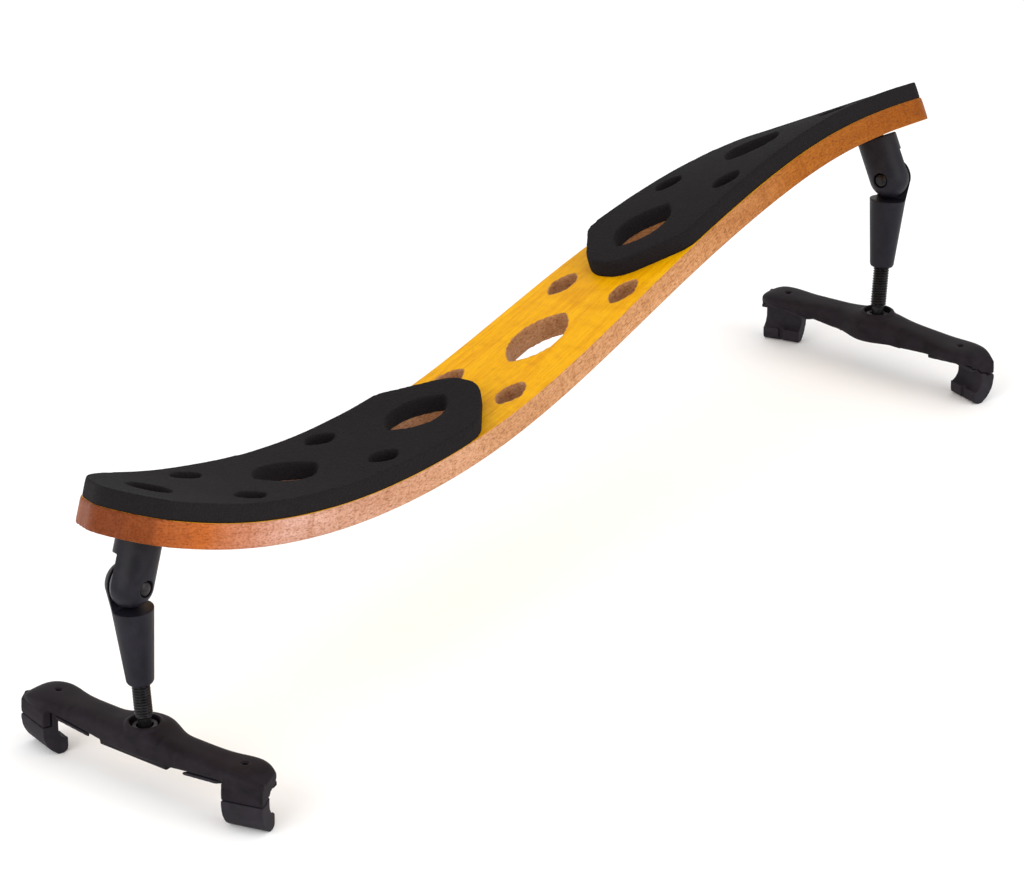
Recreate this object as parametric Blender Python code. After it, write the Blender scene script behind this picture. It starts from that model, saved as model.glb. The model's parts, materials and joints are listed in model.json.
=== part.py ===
"""Violin shoulder rest: a bent, twisted wooden bar with two foam pads, carried by two jointed legs.

Lengths are written in millimetres; new_object and axes_empty turn them into metres.
X runs along the rest, +Y away from the player's front edge, +Z up. The origin is on the floor,
below the middle of the rest.
"""
import math

import bmesh
import bpy
import numpy as np
from mathutils import Matrix, Vector

MM = 0.001

# --- wooden bar -------------------------------------------------------------------------------
BOARD_WIDTH = 22.8
BOARD_THICKNESS = 4.2
BOARD_MIDDLE = (0.8, 3.8)       # the middle of the bar, seen from above
STATIONS = (-121.4, -98.4, -73.4, -48.4, -23.4, 1.6, 26.6, 51.6, 76.6, 96.6, 114.6)
HEIGHTS = (54.35, 44.8, 37.8, 34.8, 35.7, 40.1, 45.6, 49.6, 50.9, 49.4, 47.2)    # of the top face
TWISTS = (-3.1, -0.9, -0.8, -2.3, -3.4, -6.0, -11.1, -17.4, -24.0, -27.4, -27.7)  # degrees
END_BACK_CORNER = 109.0          # |x| of the nearer corner of each oblique end
END_FRONT_CORNER = 126.2         # |x| of the further corner
BOARD_CORNER_RADII = (7.5, 17.0, 7.5, 5.0)       # from the left end's front corner, clockwise
BEND_STEP = 4.0                  # width of the strips that let the flat blank bend

# --- holes ------------------------------------------------------------------------------------
BIG_HOLES = (-70.4, -34.4, 0.0, 33.4, 68.6)
BIG_HOLE_LENGTH = 16.0
BIG_HOLE_WIDTH = 8.2
SMALL_HOLES = (-87.9, -52.5, -16.9, 16.6, 50.7, 86.0)
SMALL_HOLE_LENGTH = 7.6
SMALL_HOLE_WIDTH = 3.8
SMALL_HOLE_OFFSET = 6.6          # from the centre line, on both sides
LEG_HOLE_DIAMETER = 8.0
PAD_END_HOLE_DIAMETER = 7.2      # over each pivot screw

# --- foam pads --------------------------------------------------------------------------------
PAD_THICKNESS = 3.0
PAD_GAP = 0.15
PAD_INSET = 0.2
PAD_NOSE = 15.6                  # |x| of the pointed inner end
PAD_SHOULDER = 31.5              # |x| where the nose reaches the full width
PAD_RADII = (7.3, 8.0, 6.0, 8.0)                 # further corner, shoulder, nose, shoulder
PAD_BACK_RADIUS = {"left": 16.8, "right": 4.8}

# --- legs -------------------------------------------------------------------------------------
LEG_STATION = {"left": -104.85, "right": 106.8}
KNEE_AZIMUTH = {"left": -3.7, "right": -88.5}    # of the hinge axis about the post, degrees
KNEE_BEND = {"left": 24.0, "right": -26.6}
FOOT_YAW = {"left": -3.3, "right": -4.3}
KNEE_DROP = 8.2                  # bar's underside to the knee axis
CLEARANCE = 0.3
POST_RADIUS = 3.75
POST_STEP = 4.5                  # height of the lap's shoulder above the knee axis
LAP_FACE = 0.8                   # the post's lap face, off its axis
WASHER_THICKNESS = 0.3
WASHER_GAP = 0.15
WASHER_RADIUS = 3.5
EAR_FACE = LAP_FACE + WASHER_THICKNESS + 2 * WASHER_GAP
BALL_RADIUS = 4.0                # of the rounded end of the sleeve's ear
LEDGE_DROP = 4.1                 # knee axis to the sleeve's ledge
SLEEVE_DROP = 17.2               # knee axis to the sleeve's lower end
SLEEVE_FOOT_RADIUS = 2.25
SLEEVE_TAPER = 0.09              # radius gained per mm of height
SLEEVE_CHAMFER = 0.4
BORE_RADIUS = 1.75
BORE_TOP_DROP = 5.3
BORE_PLAY = 0.2                  # a screw's hole is this much larger in radius
KNEE_HEAD_RADIUS = 1.2
KNEE_SHANK_RADIUS = 0.9
KNEE_HEAD_OUT = 3.55             # the head's crown, off the post's axis
KNEE_HEAD_THICKNESS = 0.9
KNEE_SCREW_END = 3.0
SHANK_BORE_END = 3.5             # depth of the post's hole for the screw, either way

# --- threaded rod and swivel ring -------------------------------------------------------------
ROD_RADIUS = 1.5
ROD_LENGTH = 16.6                # above the foot's top
ROD_NECK_RADIUS = 1.1
ROD_NECK_TOP = 0.9
ROD_BASE_RADIUS = 1.7
ROD_BASE_TOP = -1.7
ROD_BASE_BOTTOM = -2.8
RING_OUTER_RADIUS = 2.1
RING_INNER_RADIUS = 1.4
RING_TOP = -0.4
RING_BOTTOM = -1.3

# --- pivot of the post in the bar -------------------------------------------------------------
BUSH_RADIUS = 3.7
BUSH_BORE_RADIUS = 1.7
PIVOT_SHANK_RADIUS = 1.4
PIVOT_HEAD_RADIUS = 2.6
PIVOT_HEAD_THICKNESS = 1.4
PIVOT_SEAT_GAP = 0.2
HEX_SOCKET_RADIUS = 1.25
HEX_SOCKET_DEPTH = 0.8
PIVOT_DEPTH = 4.0                # how far the screw reaches into the post

# --- foot -------------------------------------------------------------------------------------
FOOT_HEIGHT = 11.5               # floor to the top of the foot's boss
SOCKET_RADIUS = 2.5
SOCKET_DEPTH = 3.4
END_HOLE_RADIUS = 0.55
END_HOLE_DEPTH = 2.2             # below the boss's top
END_HOLE_AT = (-1.3, 20.1)
BAR_UNDERSIDE = -4.55            # in the middle of the foot
ARM_UNDERSIDE = -3.5             # over the hooks
ARM_START = 8.0                  # the underside climbs from here
ARM_END = 18.0                   # to here
LAND_UNDERSIDE = -5.05           # a flat pad under the middle of the bar
LAND_HALF_LENGTH = 7.2
LAND_INNER = -2.4
LAND_OUTER = 3.0
TONGUE_OUTLINE = ((-3.3, 14.3), (2.5, 10.0), (2.5, 17.2), (1.4, 18.4), (1.4, 19.6), (-3.3, 19.6))
TONGUE_THICKNESS = 0.4           # of the part of a grip that lies under the bar
SEAM_HEIGHT = -6.0               # the parting line between bar and grip on the hook's outer face
HOOK_AT = (0.4, 22.0)
HOOK_TURN = 16.0                 # degrees, so the hooks follow the violin's edge
HOOK_HALF_WIDTH = 3.6
HOOK_OUTER = 2.2
HOOK_LIP = -2.3
SKIRT_INNER = 0.75
END_WALL_THICKNESS = 0.9         # of the bar's wall over the end of each grip
END_WALL_INNER = (-0.7, -5.3)    # where the parting line meets the notch on the end face
NOTCH_RADIUS = 2.3
NOTCH_CENTRE = (-2.9, -6.9)
NOTCH_WALL_TOP = -6.1            # the notch has a flat back wall up to here
NOTCH_ROOF_RADIUS = 1.6
ROOF_INNER = -3.3                # the rubber lines the notch's roof as far as this
GROOVE_HALF_WIDTH = 0.45
GROOVE_DEPTH = 0.5

# Half outline of the foot bar: distance from its middle, inner edge, outer edge, top.
BAR_STATIONS = (
    (0.0, -5.6, 3.6, 0.0),
    (2.5, -5.1, 3.5, -0.1),
    (4.2, -4.4, 3.3, -0.35),
    (6.2, -3.7, 3.1, -0.65),
    (9.0, -3.6, 2.9, -0.85),
    (13.5, -3.8, 2.7, -1.05),
    (17.0, -4.4, 2.7, -1.2),
    (20.0, -5.0, 2.7, -1.15),
    (22.4, -4.7, 2.5, -1.25),
    (24.2, -3.9, 2.0, -1.75),
    (25.4, -3.1, 1.4, -2.5),
    (26.3, -2.2, 0.8, -3.1),
)
TOP_SQUARENESS = 2.8             # of the bar's rounded upper half
UNDER_SQUARENESS = 8.0           # of its lower half, with nearly upright sides

SIDES = {"left": -1.0, "right": 1.0}


# === helpers ==================================================================================
def clear_scene():
    for item in list(bpy.data.objects):
        bpy.data.objects.remove(item, do_unlink=True)


def make_material(name, colour, roughness, metallic=0.0):
    material = bpy.data.materials.new(name)
    material.use_nodes = True
    shader = material.node_tree.nodes["Principled BSDF"]
    shader.inputs["Base Color"].default_value = (*colour, 1.0)
    shader.inputs["Roughness"].default_value = roughness
    shader.inputs["Metallic"].default_value = metallic
    return material


def natural_spline(knots, values):
    """Return a function for the natural cubic spline through the knots."""
    x = np.array(knots, dtype=float)
    y = np.array(values, dtype=float)
    h = np.diff(x)
    size = len(x)
    system = np.eye(size)
    right = np.zeros(size)
    for i in range(1, size - 1):
        system[i, i - 1:i + 2] = h[i - 1], 2 * (h[i - 1] + h[i]), h[i]
        right[i] = 6 * ((y[i + 1] - y[i]) / h[i] - (y[i] - y[i - 1]) / h[i - 1])
    bend = np.linalg.solve(system, right)

    def evaluate(at):
        i = int(np.clip(np.searchsorted(x, at) - 1, 0, size - 2))
        a = (x[i + 1] - at) / h[i]
        b = (at - x[i]) / h[i]
        curve = ((a ** 3 - a) * bend[i] + (b ** 3 - b) * bend[i + 1]) * h[i] ** 2 / 6
        return a * y[i] + b * y[i + 1] + curve

    return evaluate


board_height = natural_spline(STATIONS, HEIGHTS)
board_twist = natural_spline(STATIONS, TWISTS)


def board_frame(x):
    """Centre of the bar's top face at x, with its along, across and normal directions."""
    centre = Vector((BOARD_MIDDLE[0] + x, BOARD_MIDDLE[1], board_height(x)))
    rise = (board_height(x + 0.5) - board_height(x - 0.5))
    along = Vector((1.0, 0.0, rise)).normalized()
    twist = math.radians(board_twist(x))
    across = Vector((0.0, math.cos(twist), math.sin(twist)))
    across = (across - across.dot(along) * along).normalized()
    return centre, along, across, along.cross(across)


def bend_to_board(point):
    """Move a point of the flat blank (along, across, above the top face) onto the bent bar."""
    centre, _, across, normal = board_frame(point.x)
    return centre + point.y * across + point.z * normal


def rounded(corners, radii, step=math.radians(15)):
    """A closed outline whose corners are arcs; corners run anticlockwise."""
    outline = []
    count = len(corners)
    for i, (corner, radius) in enumerate(zip(corners, radii)):
        here = Vector(corner)
        before = (Vector(corners[i - 1]) - here).normalized()
        after = (Vector(corners[(i + 1) % count]) - here).normalized()
        opening = before.angle(after)
        reach = radius / math.tan(opening / 2)
        centre = here + (before + after).normalized() * radius / math.sin(opening / 2)
        start = here + before * reach - centre
        turn = math.pi - opening
        turn = math.copysign(turn, before.x * after.y - before.y * after.x) * -1
        parts = max(2, math.ceil(abs(turn) / step))
        for k in range(parts + 1):
            angle = turn * k / parts
            c, s = math.cos(angle), math.sin(angle)
            outline.append(centre + Vector((start.x * c - start.y * s, start.x * s + start.y * c)))
    return outline


def lens(x, y, length, width, parts=10):
    """A pointed lens of two arcs."""
    half, rise = length / 2, width / 2
    radius = (half ** 2 + rise ** 2) / (2 * rise)
    reach = math.asin(half / radius)
    outline = []
    for side in (-1.0, 1.0):
        for k in range(parts):
            angle = side * (2 * k / parts - 1) * -reach
            outline.append(Vector((x + radius * math.sin(angle),
                                   y + side * (radius * math.cos(angle) - radius + rise))))
    return outline


def circle(x, y, radius, parts=32):
    turns = [2 * math.pi * k / parts for k in range(parts)]
    return [Vector((x + radius * math.cos(a), y + radius * math.sin(a))) for a in turns]


def new_object(name, mesh, material=None, parent=None):
    """Add a mesh made in millimetres, in its parent's space, as an object in metres."""
    mesh.transform(Matrix.Scale(MM, 4))
    mesh.name = name
    item = bpy.data.objects.new(name, mesh)
    bpy.context.scene.collection.objects.link(item)
    item.parent = parent
    if material:
        mesh.materials.append(material)
    return item


def mesh_from(bm):
    bmesh.ops.recalc_face_normals(bm, faces=bm.faces)
    mesh = bpy.data.meshes.new("mesh")
    bm.to_mesh(mesh)
    bm.free()
    return mesh


def plate(outlines, low, high):
    """A flat plate in X and Y, with holes, as a filled curve turned into a welded mesh."""
    curve = bpy.data.curves.new("plate", "CURVE")
    curve.dimensions = "2D"
    curve.fill_mode = "BOTH"
    curve.extrude = (high - low) / 2
    for outline in outlines:
        spline = curve.splines.new("POLY")
        spline.points.add(len(outline) - 1)
        for point, place in zip(spline.points, outline):
            point.co = (place.x, place.y, 0.0, 1.0)
        spline.use_cyclic_u = True
    holder = bpy.data.objects.new("plate", curve)
    bpy.context.scene.collection.objects.link(holder)
    bm = bmesh.new()
    bm.from_mesh(holder.to_mesh())
    holder.to_mesh_clear()
    bpy.data.objects.remove(holder, do_unlink=True)
    bmesh.ops.remove_doubles(bm, verts=bm.verts, dist=0.001)
    bmesh.ops.translate(bm, verts=bm.verts, vec=(0.0, 0.0, (high + low) / 2))
    return bm


def evaluated(item):
    """An item's mesh with its modifiers applied, in millimetres; the item itself is removed."""
    graph = bpy.context.evaluated_depsgraph_get()
    mesh = bpy.data.meshes.new_from_object(item.evaluated_get(graph))
    for old in [*item.children, item]:
        bpy.data.objects.remove(old, do_unlink=True)
    mesh.transform(Matrix.Scale(1 / MM, 4))
    return mesh


def bent_plate(outline, holes, low, high):
    """A plate made flat in strips, cut to its outline, pierced, and bent onto the bar."""
    first = min(p.x for p in outline) - 1.0
    last = max(p.x for p in outline) + 1.0
    bm = bmesh.new()
    bm.from_mesh(box((first, -BOARD_WIDTH, low), (last, BOARD_WIDTH, high)))
    strips = round((last - first) / BEND_STEP)
    for k in range(1, strips):
        place = first + (last - first) * k / strips
        bmesh.ops.bisect_plane(bm, geom=bm.verts[:] + bm.edges[:] + bm.faces[:],
                               plane_co=(place, 0, 0), plane_no=(1, 0, 0))
    blank = new_object("blank", mesh_from(bm))
    cut(blank, mesh_from(plate([outline], low - 1.0, high + 1.0)), "INTERSECT")
    cut(blank, mesh_from(plate(holes, low - 1.0, high + 1.0)))
    mesh = evaluated(blank)
    bm = bmesh.new()
    bm.from_mesh(mesh)
    bmesh.ops.triangulate(bm, faces=bm.faces)
    for vertex in bm.verts:
        vertex.co = bend_to_board(vertex.co)
    return mesh_from(bm)


def turned(profile, parts=40):
    """A solid of revolution about Z; the profile is (radius, height) from top to bottom."""
    bm = bmesh.new()
    rings = []
    for radius, height in profile:
        if radius == 0.0:
            rings.append([bm.verts.new((0.0, 0.0, height))])
            continue
        ring = []
        for place in circle(0.0, 0.0, radius, parts):
            ring.append(bm.verts.new((place.x, place.y, height)))
        rings.append(ring)
    for upper, lower in zip(rings, rings[1:]):
        for k in range(parts):
            corners = [upper[k % len(upper)], upper[(k + 1) % len(upper)],
                       lower[(k + 1) % len(lower)], lower[k % len(lower)]]
            bm.faces.new(list(dict.fromkeys(corners)))
    for end in (rings[0], rings[-1]):
        if len(end) > 1:
            bm.faces.new(end)
    return mesh_from(bm)


def tube(outer, inner, low, high, parts=32):
    return mesh_from(plate([circle(0, 0, outer, parts), circle(0, 0, inner, parts)], low, high))


def rod_between(radius, low, high, parts=20):
    """A plain round rod about Z."""
    return mesh_from(plate([circle(0, 0, radius, parts)], low, high))


def prism(outline, low, high):
    """An outline in X and Z, pushed along Y from low to high."""
    bm = bmesh.new()
    face = bm.faces.new([bm.verts.new((p.x, low, p.y)) for p in outline])
    grown = bmesh.ops.extrude_face_region(bm, geom=[face])
    moved = [v for v in grown["geom"] if isinstance(v, bmesh.types.BMVert)]
    bmesh.ops.translate(bm, verts=moved, vec=(0.0, high - low, 0.0))
    return mesh_from(bm)


def box(low, high):
    bm = bmesh.new()
    bmesh.ops.create_cube(bm, size=1.0)
    for vertex in bm.verts:
        for axis in range(3):
            middle = (low[axis] + high[axis]) / 2
            vertex.co[axis] = middle + vertex.co[axis] * (high[axis] - low[axis])
    return mesh_from(bm)


def moved(mesh, matrix):
    mesh.transform(matrix)
    return mesh


def along_y(mesh):
    """Turn a piece made about Z so that its top points along -Y."""
    return moved(mesh, Matrix.Rotation(math.radians(90), 4, "X"))


def cut(item, mesh, operation="DIFFERENCE"):
    """Cut or join a mesh, given in the item's own space."""
    cutter = new_object(item.name + ".cutter", mesh, parent=item)
    cutter.hide_render = True
    cutter.display_type = "WIRE"
    modifier = item.modifiers.new("cut", "BOOLEAN")
    modifier.operation = operation
    modifier.solver = "EXACT"
    modifier.object = cutter
    return cutter


def smooth(item, angle=35.0):
    item.data.shade_smooth()
    item.data.set_sharp_from_angle(angle=math.radians(angle))


def axes_empty(name, origin, x_axis, z_axis):
    """An empty at a joint, with its X and Z axes given; the pieces on it are its children."""
    y_axis = z_axis.cross(x_axis)
    matrix = Matrix((x_axis, y_axis, z_axis)).transposed().to_4x4()
    matrix.translation = origin * MM
    empty = bpy.data.objects.new(name, None)
    bpy.context.scene.collection.objects.link(empty)
    empty.matrix_world = matrix
    return empty


# === bar and pads =============================================================================
def end_corners(sign):
    """The two corners of one oblique end; the far end is the near one turned half a turn."""
    half = BOARD_WIDTH / 2
    return [(sign * END_FRONT_CORNER, sign * half), (sign * END_BACK_CORNER, -sign * half)]


def small_hole_centres():
    for x in SMALL_HOLES:
        for side in (-1.0, 1.0):
            yield x, side * SMALL_HOLE_OFFSET


def lens_outlines(first, last):
    """The big and small lens holes whose centres lie between two places along the bar."""
    outlines = []
    for x in BIG_HOLES:
        if first < x < last:
            outlines.append(lens(x, 0.0, BIG_HOLE_LENGTH, BIG_HOLE_WIDTH))
    for x, y in small_hole_centres():
        if first < x < last:
            outlines.append(lens(x, y, SMALL_HOLE_LENGTH, SMALL_HOLE_WIDTH, parts=6))
    return outlines


def make_board(wood):
    left, right = end_corners(-1.0), end_corners(1.0)
    outline = rounded(left + right, BOARD_CORNER_RADII)
    holes = lens_outlines(-END_FRONT_CORNER, END_FRONT_CORNER)
    for x in LEG_STATION.values():
        holes.append(circle(x, 0.0, LEG_HOLE_DIAMETER / 2))
    return new_object("board", bent_plate(outline, holes, -BOARD_THICKNESS, 0.0), wood)


def make_pad(side, foam):
    sign = SIDES[side]
    half = BOARD_WIDTH / 2 - PAD_INSET
    corners = [(sign * (END_FRONT_CORNER - PAD_INSET), sign * half),
               (sign * PAD_SHOULDER, sign * half),
               (sign * PAD_NOSE, 0.0),
               (sign * PAD_SHOULDER, -sign * half),
               (sign * (END_BACK_CORNER - PAD_INSET), -sign * half)]
    outline = rounded(corners, PAD_RADII + (PAD_BACK_RADIUS[side],))
    span = sorted((sign * PAD_SHOULDER * 0.9, sign * END_FRONT_CORNER))
    holes = lens_outlines(*span)
    holes.append(circle(LEG_STATION[side], 0.0, PAD_END_HOLE_DIAMETER / 2))
    mesh = bent_plate(outline, holes, PAD_GAP, PAD_GAP + PAD_THICKNESS)
    return new_object(side + "_pad", mesh, foam)


# === leg ======================================================================================
def leg_axes(side):
    """Places and directions of one leg: pivot, knee axis, sleeve axis and foot."""
    top, _, across, normal = board_frame(LEG_STATION[side])
    pivot = top - BOARD_THICKNESS * normal
    knee = pivot - KNEE_DROP * normal
    turn = Matrix.Rotation(math.radians(KNEE_AZIMUTH[side]), 3, normal)
    hinge = turn @ -across
    down = Matrix.Rotation(math.radians(KNEE_BEND[side]), 3, hinge) @ -normal
    length = (knee.z - FOOT_HEIGHT) / -down.z
    return pivot, knee, normal, hinge, down, knee + length * down


def make_pivot(side, pivot, metal, steel):
    """The bush in the bar's end hole and the screw that the post turns on."""
    bush = tube(BUSH_RADIUS, BUSH_BORE_RADIUS, CLEARANCE, BOARD_THICKNESS)
    new_object(side + "_pivot_bush", bush, metal, pivot)
    seat = BOARD_THICKNESS + PIVOT_SEAT_GAP
    crown = seat + PIVOT_HEAD_THICKNESS
    screw = turned([(PIVOT_HEAD_RADIUS - 0.3, crown), (PIVOT_HEAD_RADIUS, crown - 0.3),
                    (PIVOT_HEAD_RADIUS, seat), (PIVOT_SHANK_RADIUS, seat),
                    (PIVOT_SHANK_RADIUS, -PIVOT_DEPTH)], parts=32)
    item = new_object(side + "_pivot_screw", screw, steel, pivot)
    cut(item, rod_between(HEX_SOCKET_RADIUS, crown - HEX_SOCKET_DEPTH, crown + 1.0, 6))
    smooth(item)


def make_post(side, knee, plastic):
    """A round post with a ball end, halved at its lower end for the knee."""
    top = KNEE_DROP - CLEARANCE
    quarter = [(POST_RADIUS * math.cos(a), -POST_RADIUS * math.sin(a))
               for a in (math.radians(10 * k) for k in range(9))]
    profile = [(POST_RADIUS - 0.2, top), (POST_RADIUS, top - 0.2)] + quarter
    profile.append((0.0, -POST_RADIUS))
    item = new_object(side + "_post", turned(profile), plastic, knee)
    cut(item, box((-6.0, LAP_FACE, -6.0), (6.0, 6.0, POST_STEP)))
    head_seat = KNEE_HEAD_OUT - KNEE_HEAD_THICKNESS - BORE_PLAY
    cut(item, along_y(rod_between(KNEE_HEAD_RADIUS + BORE_PLAY, head_seat, 6.0)))
    shank_bore = rod_between(KNEE_SHANK_RADIUS + BORE_PLAY, -SHANK_BORE_END, SHANK_BORE_END)
    cut(item, along_y(shank_bore))
    cut(item, rod_between(PIVOT_SHANK_RADIUS + BORE_PLAY, KNEE_DROP - PIVOT_DEPTH - CLEARANCE,
                          KNEE_DROP + 1.0))
    smooth(item)


def make_knee_screw(side, knee, steel):
    shoulder = KNEE_HEAD_OUT - KNEE_HEAD_THICKNESS
    profile = [(0.0, KNEE_HEAD_OUT), (0.7, KNEE_HEAD_OUT - 0.05),
               (KNEE_HEAD_RADIUS, KNEE_HEAD_OUT - 0.3), (KNEE_HEAD_RADIUS, shoulder),
               (KNEE_SHANK_RADIUS, shoulder), (KNEE_SHANK_RADIUS, -KNEE_SCREW_END)]
    item = new_object(side + "_knee_screw", along_y(turned(profile, parts=24)), steel, knee)
    smooth(item)


def make_knee_washer(side, knee, steel):
    near = LAP_FACE + WASHER_GAP
    washer = tube(WASHER_RADIUS, KNEE_SHANK_RADIUS + BORE_PLAY, -near - WASHER_THICKNESS, -near)
    item = new_object(side + "_knee_washer", along_y(washer), steel, knee)
    smooth(item)


def make_sleeve(side, knee, plastic):
    """A tapered sleeve with a ball end, halved into the knee's ear."""
    foot = -SLEEVE_DROP
    straight = foot + SLEEVE_CHAMFER
    ledge_radius = SLEEVE_FOOT_RADIUS + SLEEVE_TAPER * (-LEDGE_DROP - straight)
    quarter = [(BALL_RADIUS * math.sin(a), BALL_RADIUS * math.cos(a))
               for a in (math.radians(10 * k) for k in range(1, 10))]
    profile = [(0.0, BALL_RADIUS), *quarter, (ledge_radius, -LEDGE_DROP),
               (SLEEVE_FOOT_RADIUS, straight), (SLEEVE_FOOT_RADIUS - 0.25, foot)]
    item = new_object(side + "_sleeve", turned(profile), plastic, knee)
    cut(item, box((-7.0, -7.0, -LEDGE_DROP), (7.0, EAR_FACE, 7.0)))
    screw_bore = rod_between(KNEE_SHANK_RADIUS + BORE_PLAY, -KNEE_SCREW_END - BORE_PLAY, 0.0)
    cut(item, along_y(screw_bore))
    cut(item, rod_between(BORE_RADIUS, foot - 1.0, -BORE_TOP_DROP, 28))
    smooth(item)


def make_rod(side, foot, steel):
    """The threaded rod, with the neck and base that hold it in the foot."""
    profile = [(ROD_RADIUS - 0.3, ROD_LENGTH), (ROD_RADIUS, ROD_LENGTH - 0.3),
               (ROD_RADIUS, ROD_NECK_TOP + 0.3), (ROD_NECK_RADIUS, ROD_NECK_TOP),
               (ROD_NECK_RADIUS, ROD_BASE_TOP), (ROD_BASE_RADIUS, ROD_BASE_TOP),
               (ROD_BASE_RADIUS, ROD_BASE_BOTTOM + 0.3), (ROD_BASE_RADIUS - 0.3, ROD_BASE_BOTTOM)]
    item = new_object(side + "_rod", turned(profile, parts=28), steel, foot)
    smooth(item)


def make_swivel_ring(side, foot, steel):
    ring = tube(RING_OUTER_RADIUS, RING_INNER_RADIUS, RING_BOTTOM, RING_TOP)
    item = new_object(side + "_swivel_ring", ring, steel, foot)
    smooth(item)


# === foot =====================================================================================
def bar_section(y, inner, outer, top, bottom, parts=24):
    """One cross-section of the foot bar: rounded above, nearly square below."""
    middle = Vector(((inner + outer) / 2, y, (top + bottom) / 2))
    half_width, half_height = (outer - inner) / 2, (top - bottom) / 2
    points = []
    for k in range(parts):
        angle = 2 * math.pi * (k + 0.5) / parts
        c, s = math.cos(angle), math.sin(angle)
        power = 2 / (TOP_SQUARENESS if s > 0 else UNDER_SQUARENESS)
        points.append(middle + Vector((half_width * math.copysign(abs(c) ** power, c), 0.0,
                                       half_height * math.copysign(abs(s) ** power, s))))
    return points


def underside(y):
    """Height of the bar's lower face, which climbs a little towards the hooks."""
    return float(np.interp(abs(y), (ARM_START, ARM_END), (BAR_UNDERSIDE, ARM_UNDERSIDE)))


def bar_mesh():
    """Loft the foot bar through its stations, from one end over the boss to the other."""
    places, inner, outer, top = zip(*BAR_STATIONS)
    mirrored = [-y for y in places[:0:-1]]
    columns = [natural_spline(mirrored + list(places), list(c[:0:-1]) + list(c))
               for c in (inner, outer, top)]
    end = places[-1]
    bm = bmesh.new()
    rings = []
    steps = 44
    for k in range(steps + 1):
        y = -end + 2 * end * k / steps
        section = bar_section(y, *(column(y) for column in columns), underside(y))
        rings.append([bm.verts.new(p) for p in section])
    for low, high in zip(rings, rings[1:]):
        for k in range(len(low)):
            bm.faces.new((low[k - 1], low[k], high[k], high[k - 1]))
    bm.faces.new(rings[0])
    bm.faces.new(rings[-1])
    return mesh_from(bm)


def hook_matrix(end):
    """From a hook's own axes (outward, along its width, up) to the foot's."""
    place = Matrix.Translation((HOOK_AT[0], end * HOOK_AT[1], 0.0))
    return place @ Matrix.Rotation(end * math.radians(HOOK_TURN), 4, "Z")


def arc(centre, radius, start, stop, parts):
    angles = [math.radians(start + (stop - start) * k / parts) for k in range(parts + 1)]
    return [Vector((centre[0] + radius * math.cos(a), centre[1] + radius * math.sin(a)))
            for a in angles]


def grip_outline():
    """The hook's profile below the bar: wall, notch for the violin's edge, and lip."""
    ceiling = ARM_UNDERSIDE - CLEARANCE
    skirt = SKIRT_INNER - CLEARANCE
    seam = SEAM_HEIGHT - CLEARANCE
    roof = ceiling - TONGUE_THICKNESS
    wall = ((ROOF_INNER, ceiling), (skirt, ceiling), (skirt, seam), (HOOK_OUTER, seam),
            (HOOK_OUTER, -7.4), (HOOK_OUTER - 0.25, -8.6), (HOOK_OUTER - 0.8, -9.7),
            (HOOK_OUTER - 1.6, -10.7), (HOOK_OUTER - 2.7, -FOOT_HEIGHT))
    lip = ((HOOK_LIP + 0.8, -FOOT_HEIGHT), (HOOK_LIP + 0.15, -FOOT_HEIGHT + 0.35),
           (HOOK_LIP, -FOOT_HEIGHT + 1.0), (HOOK_LIP, NOTCH_CENTRE[1] - NOTCH_RADIUS + 0.3))
    notch = arc(NOTCH_CENTRE, NOTCH_RADIUS, -70, 0, 7)
    roof_centre = (NOTCH_CENTRE[0] + NOTCH_RADIUS - NOTCH_ROOF_RADIUS, NOTCH_WALL_TOP)
    notch += arc(roof_centre, NOTCH_ROOF_RADIUS, 0, 75, 6)
    return [Vector(p) for p in wall + lip] + notch + [Vector((ROOF_INNER, roof - 0.4))]


def hook_block(points, end, low, high):
    """An outline in a hook's own axes, between two distances towards the foot's end."""
    solid = prism([Vector(p) for p in points], *sorted((end * low, end * high)))
    return moved(solid, hook_matrix(end))


def end_wall(end, room=0.0):
    """The bar's wall over a grip's end face; with room, the space the grip leaves for it."""
    inner, seam = END_WALL_INNER
    seam -= room
    shape = ((SKIRT_INNER + 0.3, seam - 0.4), (inner, seam), (inner - 0.3, seam + 0.5),
             (inner - 1.1, seam + 1.0), (inner - 2.4, seam + 1.3), (inner - 2.4, -2.8),
             (SKIRT_INNER + 0.3, -2.8))
    low = HOOK_HALF_WIDTH - END_WALL_THICKNESS - room
    return hook_block(shape, end, low, HOOK_HALF_WIDTH + 1.0)


def make_bar(side, foot, plastic):
    item = new_object(side + "_foot_bar", bar_mesh(), plastic, foot)
    land = box((LAND_INNER, -LAND_HALF_LENGTH, LAND_UNDERSIDE),
               (LAND_OUTER, LAND_HALF_LENGTH, BAR_UNDERSIDE / 2))
    cut(item, land, "UNION")
    for end in (-1.0, 1.0):
        skirt = ((SKIRT_INNER, -2.4), (SKIRT_INNER, SEAM_HEIGHT), (HOOK_OUTER, SEAM_HEIGHT),
                 (HOOK_OUTER + 0.05, -5.0), (HOOK_OUTER - 0.1, -3.6), (HOOK_OUTER - 0.9, -2.4))
        cut(item, hook_block(skirt, end, -HOOK_HALF_WIDTH, HOOK_HALF_WIDTH + 0.5), "UNION")
        cut(item, end_wall(end), "UNION")
        beyond = ((-9.0, -9.0), (9.0, -9.0), (9.0, 2.0), (-9.0, 2.0))
        cut(item, hook_block(beyond, end, HOOK_HALF_WIDTH, HOOK_HALF_WIDTH + 4.0))
        hole = rod_between(END_HOLE_RADIUS, -END_HOLE_DEPTH, 1.0, 16)
        cut(item, moved(hole, Matrix.Translation((END_HOLE_AT[0], end * END_HOLE_AT[1], 0.0))))
    cut(item, rod_between(SOCKET_RADIUS, -SOCKET_DEPTH, 1.0, 32))
    smooth(item, 45.0)


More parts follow.
